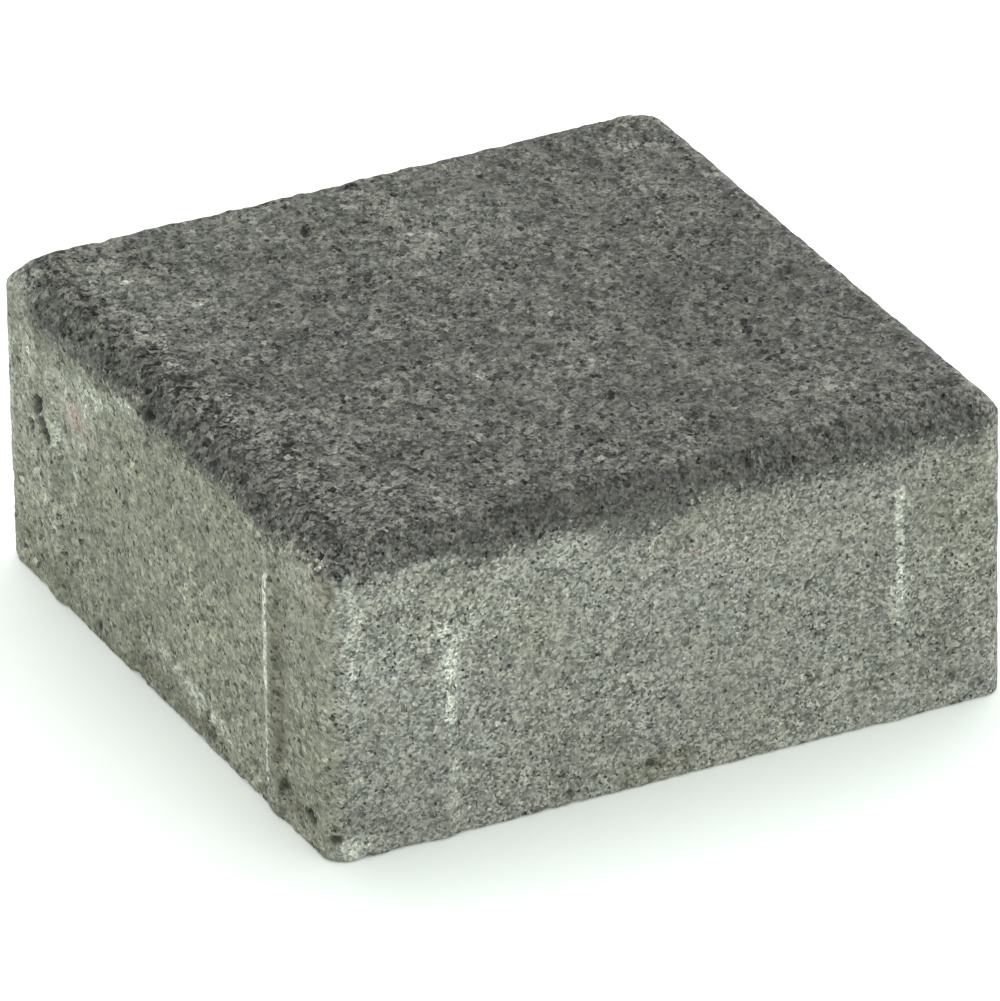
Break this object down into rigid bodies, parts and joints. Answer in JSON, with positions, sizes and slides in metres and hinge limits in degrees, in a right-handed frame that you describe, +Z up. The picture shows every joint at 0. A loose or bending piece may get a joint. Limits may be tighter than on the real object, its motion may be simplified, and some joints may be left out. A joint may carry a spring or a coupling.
{
  "type": "concrete paving stone",
  "caption": "Square pressed-concrete paving stone with a chamfered wearing face, half-round spacer nibs on its sides and a flat bed.",
  "frame": {"origin": "centre of the bed in plan, on the level ground the stone lies on", "axes": "+Z up from the bed to the wearing face, X and Y square to the two pairs of side faces"},
  "size_m": [0.1544, 0.1544, 0.069],
  "materials": {
    "concrete": "dry, open-grained pressed concrete, fully matte"
  },
  "bodies": {
    "root": {"paving_stone": "concrete"}
  },
  "joints": []
}
